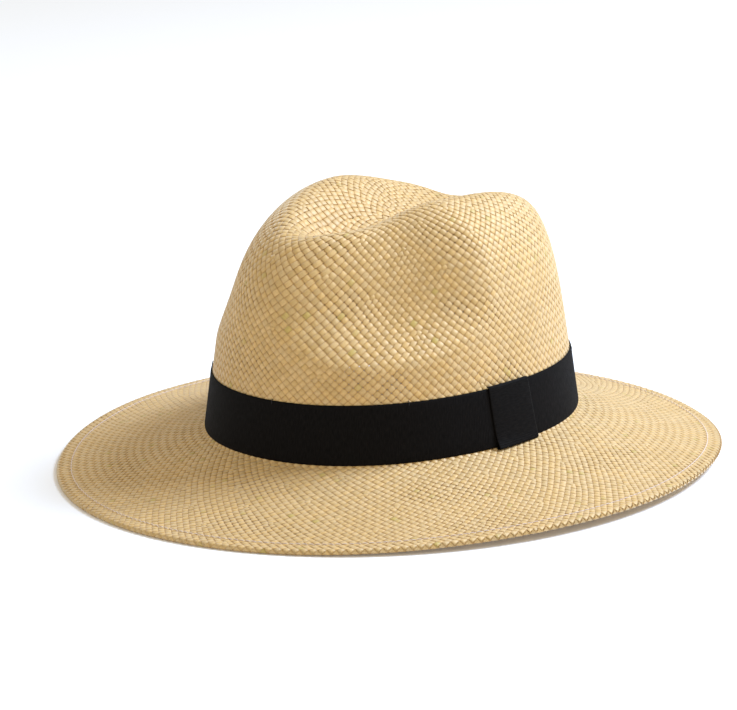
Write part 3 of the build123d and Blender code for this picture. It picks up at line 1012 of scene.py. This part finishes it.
def make_hem_stitches(material):
    """The hem's two lines of stitches: one on top of the brim, one under the turned ply."""
    inset = STITCH_INSET / BRIM_WIDTH
    rings = (("hem_needle_stitches", 2 - inset, "hem_needle_thread"),
             ("hem_bobbin_stitches", 3 + STITCH_INSET / HEM_WIDTH, "hem_bobbin_thread"))
    for name, way, node in rings:
        count = round(float(np.interp(way, WAYS, AROUND)) / STITCH_LENGTH)
        angle, dive, slant = stitch_ring(count, HEM_STITCH_SLANT / BRIM_WIDTH)
        middle, normal = sheet_frame(angle, np.full(angle.shape, way) + slant)
        height = SHEET / 2 + HEM_STITCH_PROUD - HEM_STITCH_DIVE * dive
        points = middle + normal * height[..., None]
        thread_piece(name, points, normal, material, node)


def inner_face(angle, rise, proud):
    """A point proud of the sweatband's inner face."""
    return wall_point(angle, rise, -(lining_depth(rise) + SWEATBAND_THICKNESS + proud))


def inward_at(angle):
    """The level direction towards the hat's axis."""
    return -np.stack([np.cos(angle), np.sin(angle), 0 * angle], -1)


def make_sweatband_stitches(material):
    """The stitches that hold the sweatband, and the zigzag across its two ends."""
    around = TAU * (BASE_HALF_LENGTH + BASE_HALF_WIDTH) / 2
    angle, dive, _ = stitch_ring(round(around / STITCH_LENGTH))
    rise = np.full(angle.shape, SWEATBAND_STITCH_RISE)
    points = inner_face(angle, rise, THREAD_RADIUS - LINING_STITCH_DIVE * dive)
    thread_piece("sweatband_stitches", points, inward_at(angle), material,
                 "sweatband_thread")
    spacing = (SWEATBAND_HEIGHT - 2 * SWEATBAND_STITCH_RISE) / SEAM_STITCHES
    stitch = np.arange(SEAM_STITCHES)[:, None]
    side = (STITCH_SHARES - 0.5) * np.where(stitch % 2, -1, 1) * SEAM_STITCH * STITCH_FILL
    angle = math.pi + side / BASE_HALF_LENGTH
    rise = 2 * SWEATBAND_STITCH_RISE + spacing * (stitch + (STITCH_SHARES - 0.5) * STITCH_FILL)
    proud = THREAD_RADIUS + SEAM_STITCH_PROUD - LINING_STITCH_DIVE * STITCH_DIVES
    thread_piece("sweatband_seam_stitches", inner_face(angle, rise, proud), inward_at(angle),
                 material, "sweatband_seam_thread")


def make_tacks(material):
    """Small loops of thread over the ribbon's top edge."""
    outside, above = TACK_LINE.T
    angle = np.radians(np.array(TACK_ANGLES, float))[:, None] + 0 * outside
    points = wall_point(angle, BAND_LIFT + BAND_HEIGHT + above, outside)
    sideways = np.stack([-np.sin(angle), np.cos(angle), 0 * angle], -1)
    thread_piece("ribbon_tacks", points, sideways, material, "band_tacks")


ribbon = ribbon_material()
hem_thread = thread_material("hem_thread", (0.88, 0.74, 0.66))
make_ribbon(ribbon)
make_tab(ribbon)
make_sweatband(lining_material())
make_label(label_material())
make_hem_stitches(hem_thread)
make_sweatband_stitches(hem_thread)
make_tacks(thread_material("black_thread", (0.012, 0.012, 0.014)))
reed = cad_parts["brim_edge_reed"]
reed.data.materials.clear()
reed.data.materials.append(reed_material())


# ---- Camera, light and floor ----

CAMERA_ANGLES = (45.0, 15.0, -0.65)
CAMERA_DISTANCE = 2.0
CAMERA_LENS = 193.7
CAMERA_SHIFT = (-0.0293, -0.0208)
AIM = Vector((0, 0, 60 * MM))
KEY_SPOT = (-0.87, 0.5, 1.15)
KEY_SIZE = 0.7
KEY_POWER = 25
KEY_COLOUR = (0.88, 1.07, 1.42)
WORLD_COLOUR = (1.0, 0.94, 0.82, 1)
WORLD_STRENGTH = 0.66
FLOOR_HALF = 12


def make_camera():
    """A long lens ahead of the hat's front left, a little above it."""
    azimuth, elevation, roll = (math.radians(angle) for angle in CAMERA_ANGLES)
    back = Vector((math.cos(azimuth) * math.cos(elevation), math.sin(azimuth) * math.cos(elevation),
                   math.sin(elevation)))
    level = Vector((-math.sin(azimuth), math.cos(azimuth), 0))
    rise = back.cross(level)
    right = level * math.cos(roll) + rise * math.sin(roll)
    up = rise * math.cos(roll) - level * math.sin(roll)
    camera = bpy.data.objects.new("camera", bpy.data.cameras.new("camera"))
    camera.matrix_world = Matrix((right, up, back)).transposed().to_4x4()
    camera.matrix_world.translation = AIM + back * CAMERA_DISTANCE
    camera.data.lens = CAMERA_LENS
    camera.data.sensor_width = 36
    camera.data.shift_x, camera.data.shift_y = CAMERA_SHIFT
    bpy.context.scene.collection.objects.link(camera)
    bpy.context.scene.camera = camera


def make_floor():
    """A plain pale floor that the hat stands on."""
    made = Material("floor")
    made.set(Base_Color=(0.93, 0.93, 0.93, 1), Roughness=0.9, Specular_IOR_Level=0.1,
             Emission_Color=(1, 1, 1, 1), Emission_Strength=0.08)
    mesh = bpy.data.meshes.new("floor")
    mesh.from_pydata([(x * FLOOR_HALF, y * FLOOR_HALF, 0)
                      for x, y in ((-1, -1), (1, -1), (1, 1), (-1, 1))], [], [(0, 1, 2, 3)])
    mesh.materials.append(made.material)
    floor = bpy.data.objects.new("floor", mesh)
    bpy.context.scene.collection.objects.link(floor)


def make_light():
    """Even warm light from all round, and one soft disk high behind the hat's left."""
    world = bpy.data.worlds.new("studio")
    bpy.context.scene.world = world
    world.use_nodes = True
    background = world.node_tree.nodes["Background"]
    background.inputs["Color"].default_value = WORLD_COLOUR
    background.inputs["Strength"].default_value = WORLD_STRENGTH
    light = bpy.data.lights.new("key", "AREA")
    light.shape, light.size, light.energy, light.color = "DISK", KEY_SIZE, KEY_POWER, KEY_COLOUR
    key = bpy.data.objects.new("key", light)
    key.location = KEY_SPOT
    key.rotation_euler = (AIM - key.location).to_track_quat("-Z", "Y").to_euler()
    bpy.context.scene.collection.objects.link(key)
    bpy.context.scene.view_settings.view_transform = "Standard"


make_camera()
make_light()
make_floor()
